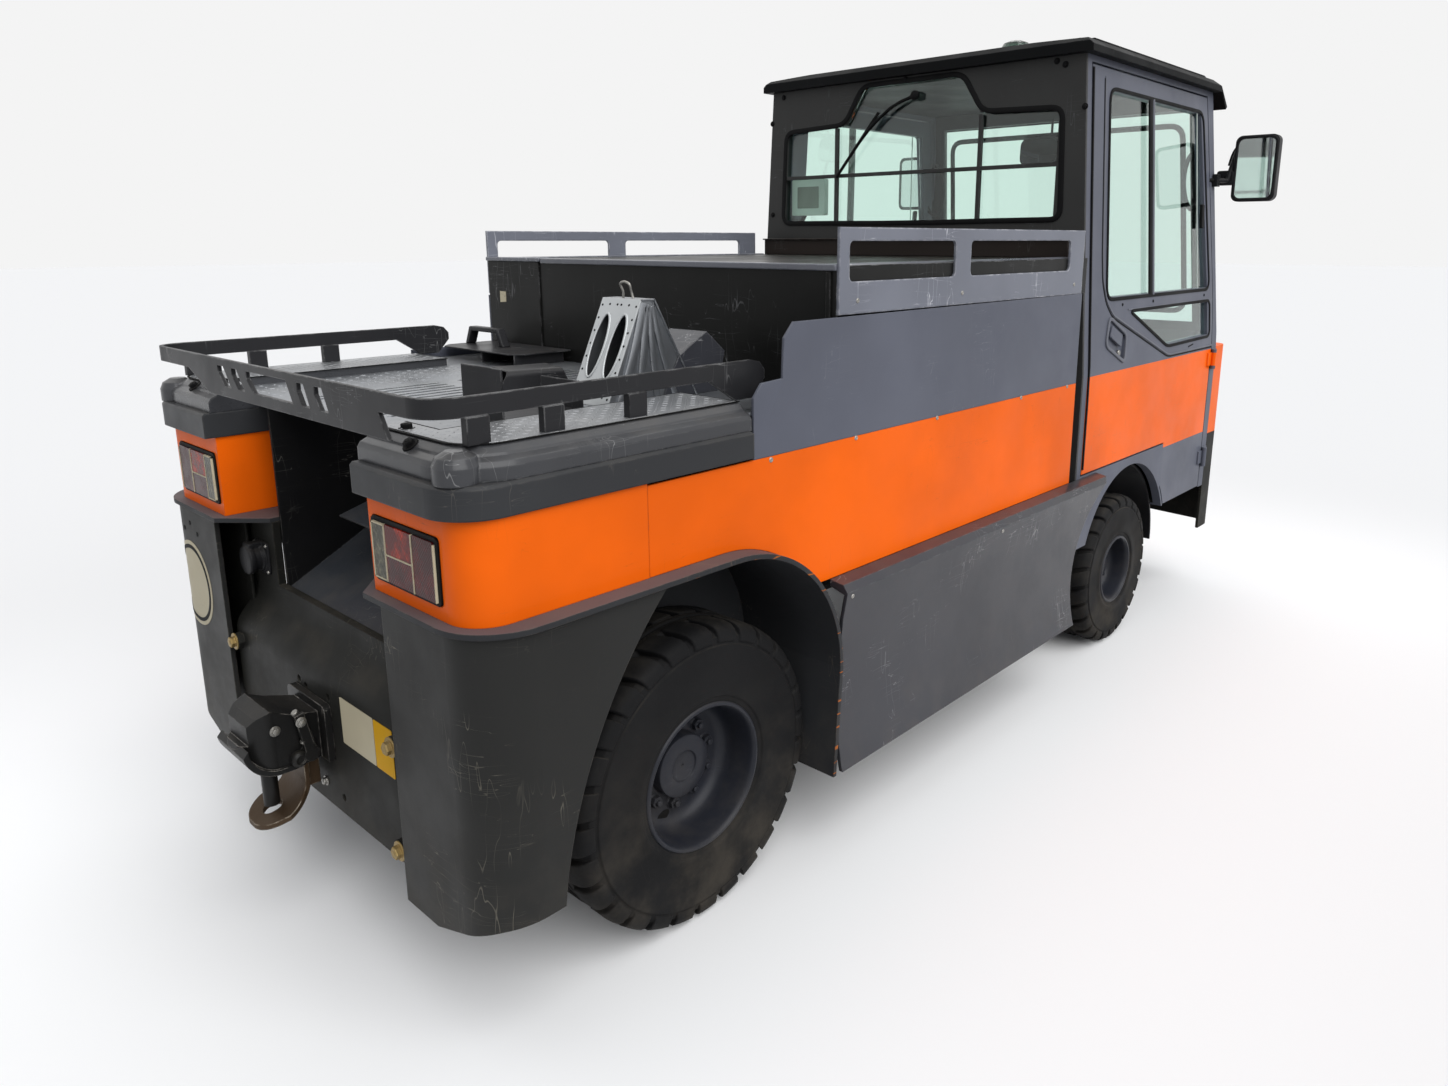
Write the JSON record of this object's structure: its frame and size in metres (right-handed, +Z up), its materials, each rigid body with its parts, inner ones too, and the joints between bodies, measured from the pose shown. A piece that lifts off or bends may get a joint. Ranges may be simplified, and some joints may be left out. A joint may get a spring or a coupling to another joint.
{
  "type": "airport tow tractor",
  "caption": "Electric airport tow tractor: closed driver's cab in front, battery hood behind it, low rear deck with a guard rail, and a tow coupling.",
  "frame": {"origin": "on the floor under the middle of the overall length and width", "axes": "+X forward to the cab end, +Y to the driver's left, +Z up"},
  "size_m": [3.61, 1.628, 1.998],
  "materials": {
    "orange_paint": "semi-gloss enamel, worn at its edges",
    "grey_paint": "semi-gloss enamel",
    "dark_paint": "satin enamel, scratched",
    "black_paint": "satin enamel, worn",
    "frame_paint": "satin enamel",
    "rim_paint": "satin enamel",
    "two_tone_door": "semi-gloss enamel in bands",
    "steel": "worn bright steel",
    "galvanised": "galvanised sheet",
    "cast_black": "black, worn at its edges",
    "rusty_steel": "worn, brown with rust",
    "solid_rubber": "matte",
    "glazing": "clear, pale green",
    "lamp_red": "moulded lens",
    "lamp_clear": "moulded lens",
    "lamp_amber": "tinted dome",
    "black_plastic": "fine grain",
    "seat_cloth": "woven"
  },
  "bodies": {
    "chassis": {"battery": "dark_paint", "battery_hood": "black_paint", "beacon": "lamp_amber", "cab_floor": "frame_paint", "cab_frame": "grey_paint", "cab_roof": "black_paint", "chassis_frame": "frame_paint", "chock_bracket": "black_paint", "corner_shells": "dark_paint", "coupling_tongue": "rusty_steel", "dashboard": "black_plastic", "deck": "black_paint", "deck_bumpers": "black_plastic", "deck_covers": "black_plastic", "deck_rail": "black_paint", "front_arches": "black_plastic", "front_axle": "frame_paint", "front_bumper": "dark_paint", "front_panel": "orange_paint", "headlamps": "lamp_clear", "hood_rails": "grey_paint", "mirrors": "black_plastic", "rear_axle": "frame_paint", "rear_corner_panels": "orange_paint", "rear_plate": "dark_paint", "rear_window": "glazing", "recess_liner": "dark_paint", "seat_back": "seat_cloth", "seat_base": "black_plastic", "seat_cushion": "seat_cloth", "side_panels": "orange_paint", "skirts": "grey_paint", "steering_column": "black_plastic", "step_panels": "grey_paint", "tail_lamps": "lamp_red", "tow_coupling": "cast_black", "trailer_socket": "black_plastic", "wheel_arches": "black_plastic", "wheel_chock": "galvanised", "windscreen": "glazing"},
    "door_left": {"door_left": "two_tone_door", "door_glass_left": "glazing"},
    "door_right": {"door_right": "two_tone_door", "door_glass_right": "glazing"},
    "knuckle_left": {"knuckle_left": "cast_black"},
    "knuckle_right": {"knuckle_right": "cast_black"},
    "rear_wheel_left": {"rear_tyre_left": "solid_rubber", "rear_rim_left": "rim_paint"},
    "rear_wheel_right": {"rear_tyre_right": "solid_rubber", "rear_rim_right": "rim_paint"},
    "front_wheel_left": {"front_tyre_left": "solid_rubber", "front_rim_left": "rim_paint"},
    "front_wheel_right": {"front_tyre_right": "solid_rubber", "front_rim_right": "rim_paint"},
    "steering_wheel": {"steering_wheel": "black_plastic"}
  },
  "joints": [
    {"name": "door_right_hinge", "type": "hinge", "parent": "chassis", "child": "door_right", "pos_m": [1.566, -0.661, 0.7475], "axis": [0, 0, 1], "range_deg": [0, 75]},
    {"name": "door_left_hinge", "type": "hinge", "parent": "chassis", "child": "door_left", "pos_m": [1.566, 0.661, 0.7475], "axis": [0, 0, -1], "range_deg": [0, 75]},
    {"name": "steer_right", "type": "hinge", "parent": "chassis", "child": "knuckle_right", "pos_m": [0.862, -0.424, 0.262], "axis": [0, 0, 1], "range_deg": [-38, 38]},
    {"name": "steer_left", "type": "hinge", "parent": "chassis", "child": "knuckle_left", "pos_m": [0.862, 0.424, 0.262], "axis": [0, 0, 1], "range_deg": [-38, 38]},
    {"name": "front_wheel_right_spin", "type": "hinge", "parent": "knuckle_right", "child": "front_wheel_right", "pos_m": [0.862, -0.556, 0.262], "axis": [0, 1, 0], "continuous": true},
    {"name": "front_wheel_left_spin", "type": "hinge", "parent": "knuckle_left", "child": "front_wheel_left", "pos_m": [0.862, 0.556, 0.262], "axis": [0, 1, 0], "continuous": true},
    {"name": "rear_wheel_right_spin", "type": "hinge", "parent": "chassis", "child": "rear_wheel_right", "pos_m": [-1.128, -0.521, 0.32], "axis": [0, 1, 0], "continuous": true},
    {"name": "rear_wheel_left_spin", "type": "hinge", "parent": "chassis", "child": "rear_wheel_left", "pos_m": [-1.128, 0.521, 0.32], "axis": [0, 1, 0], "continuous": true},
    {"name": "steering_wheel_turn", "type": "hinge", "parent": "chassis", "child": "steering_wheel", "pos_m": [1.29, 0.28, 1.11], "axis": [-0.4699, 0, 0.8827], "continuous": true}
  ],
  "couplings": [
    {"joint": "steer_left", "follows": "steer_right", "ratio": 1}
  ]
}
